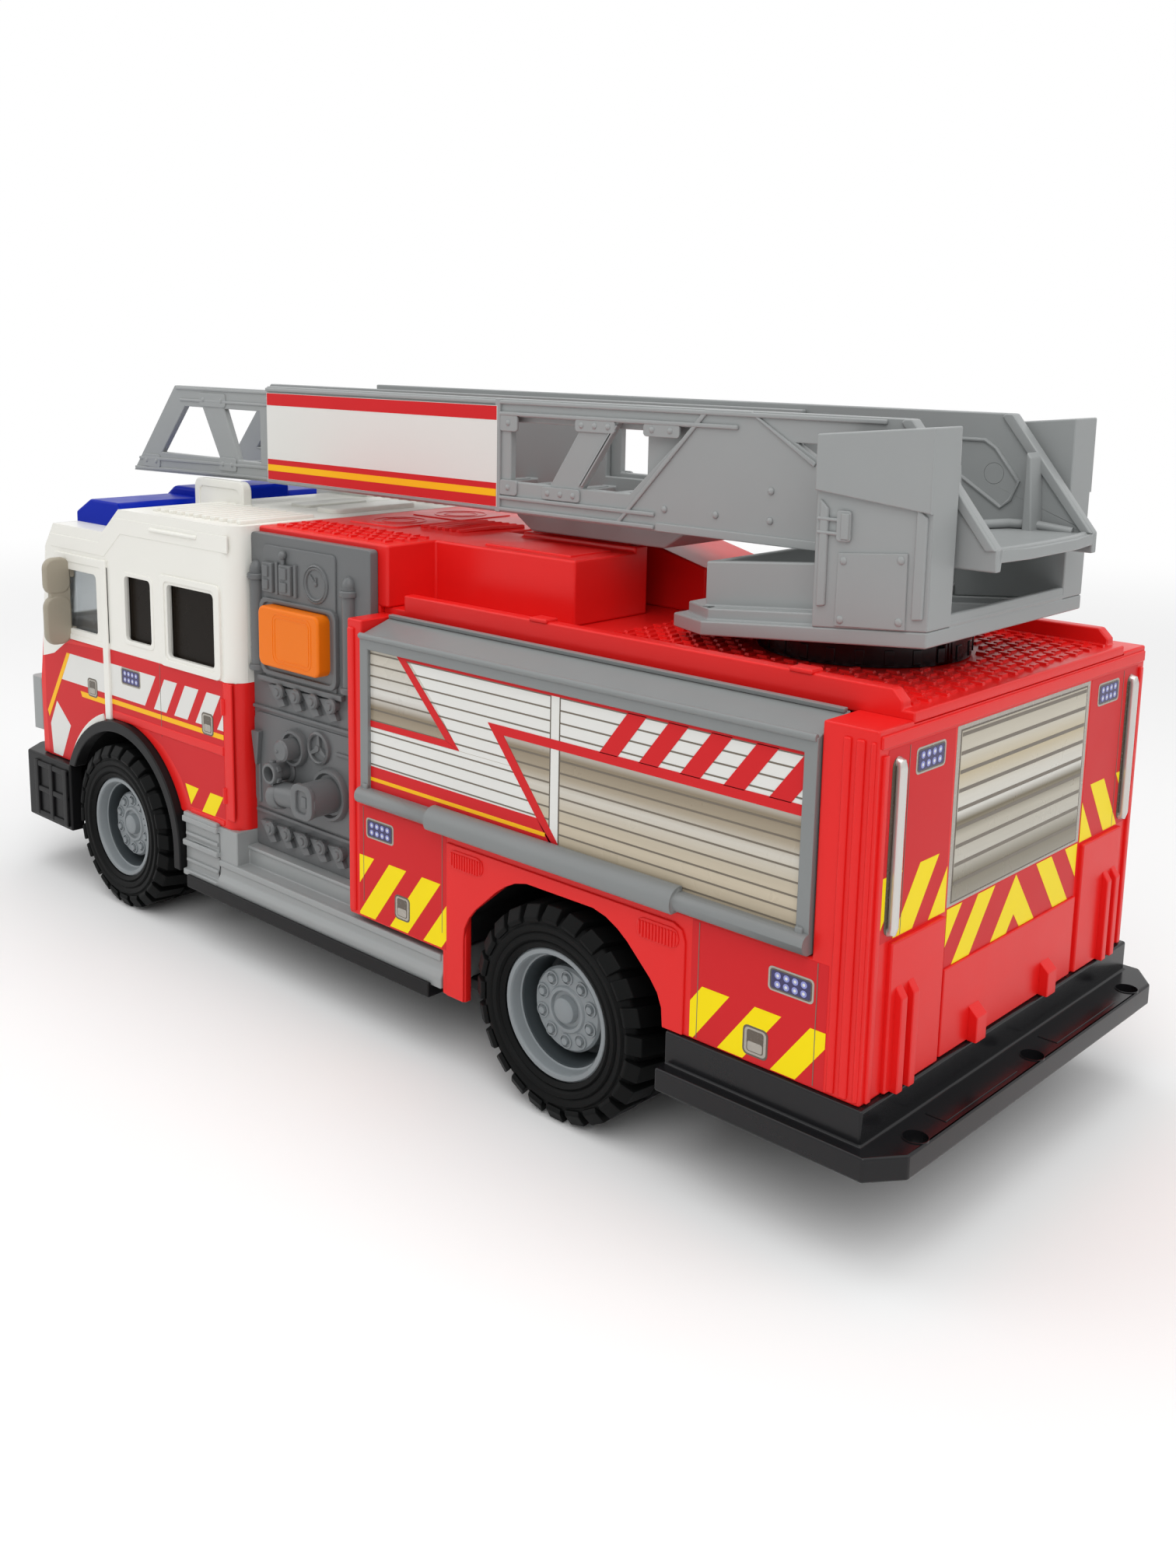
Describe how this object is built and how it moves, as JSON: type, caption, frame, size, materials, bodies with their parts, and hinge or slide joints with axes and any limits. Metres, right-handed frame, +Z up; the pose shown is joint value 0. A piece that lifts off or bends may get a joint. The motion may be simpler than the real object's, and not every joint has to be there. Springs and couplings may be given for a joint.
{
  "type": "toy ladder fire engine",
  "caption": "Toy fire engine with a cab, hinged locker doors, pump panels and a turntable ladder that turns, lifts and extends.",
  "frame": {"origin": "on the ground under the middle of the toy's overall box", "axes": "+X towards the cab, +Y to the left side, +Z up"},
  "size_m": [0.3642, 0.1418, 0.1744],
  "materials": {
    "red": "gloss",
    "white": "gloss",
    "grey": "satin",
    "black": "gloss",
    "rim_grey": "satin",
    "tyre_black": "matte",
    "steel": "brushed",
    "battery": "satin",
    "smoked": "gloss",
    "clear": "gloss",
    "blue": "gloss",
    "beige": "satin",
    "orange": "satin",
    "silver": "satin",
    "label": "gloss",
    "dark_interior": "matte"
  },
  "bodies": {
    "chassis": {"chassis_base": "black", "battery_box": "battery", "battery_cover": "black", "rear_step": "black", "front_bumper": "black", "fender_trims": "black", "front_wheel_wells": "black", "rear_wheel_wells": "black", "running_boards": "grey", "body_shell": "red", "locker_linings": "grey", "deck": "red", "hose_bed": "red", "pump_panels": "grey", "sound_buttons": "orange", "cab_lower": "red", "cab_upper": "white", "cab_interior": "dark_interior", "smoked_windows": "smoked", "windscreen": "clear", "light_bar": "blue", "ladder_cradles": "white", "mirrors": "beige", "front_grille": "grey", "rear_handles": "silver"},
    "rear_wheels": {"rear_axle": "steel", "rear_rims": "rim_grey", "rear_tyres": "tyre_black"},
    "front_wheels": {"front_axle": "steel", "front_rims": "rim_grey", "front_tyres": "tyre_black"},
    "turntable": {"turntable_ring": "black", "turntable_base": "grey", "turntable_cheeks": "grey", "lift_pin": "steel"},
    "ladder": {"ladder_base": "grey", "sign_boards": "label", "ladder_keel": "grey"},
    "fly": {"ladder_fly": "grey"},
    "door_left": {"door_frame_left": "grey", "door_shutter_left": "label"},
    "door_right": {"door_frame_right": "grey", "door_shutter_right": "label"}
  },
  "joints": [
    {"name": "rear_wheels_roll", "type": "hinge", "parent": "chassis", "child": "rear_wheels", "pos_m": [-0.08635, 0, 0.0279], "axis": [0, 1, 0], "continuous": true},
    {"name": "front_wheels_roll", "type": "hinge", "parent": "chassis", "child": "front_wheels", "pos_m": [0.11365, 0, 0.0279], "axis": [0, 1, 0], "continuous": true},
    {"name": "turntable_turn", "type": "hinge", "parent": "chassis", "child": "turntable", "pos_m": [-0.12835, 0, 0.1178], "axis": [0, 0, 1], "continuous": true},
    {"name": "ladder_lift", "type": "hinge", "parent": "turntable", "child": "ladder", "pos_m": [-0.14835, 0, 0.16], "axis": [0, -1, 0], "range_deg": [0, 55]},
    {"name": "ladder_extend", "type": "slide", "parent": "ladder", "child": "fly", "axis": [1, 0, 0], "range_m": [0, 0.11]},
    {"name": "door_left_lift", "type": "hinge", "parent": "chassis", "child": "door_left", "pos_m": [-0.08635, 0.055, 0.1122], "axis": [1, 0, 0], "range_deg": [0, 90]},
    {"name": "door_right_lift", "type": "hinge", "parent": "chassis", "child": "door_right", "pos_m": [-0.08635, -0.055, 0.1122], "axis": [-1, 0, 0], "range_deg": [0, 90]}
  ]
}
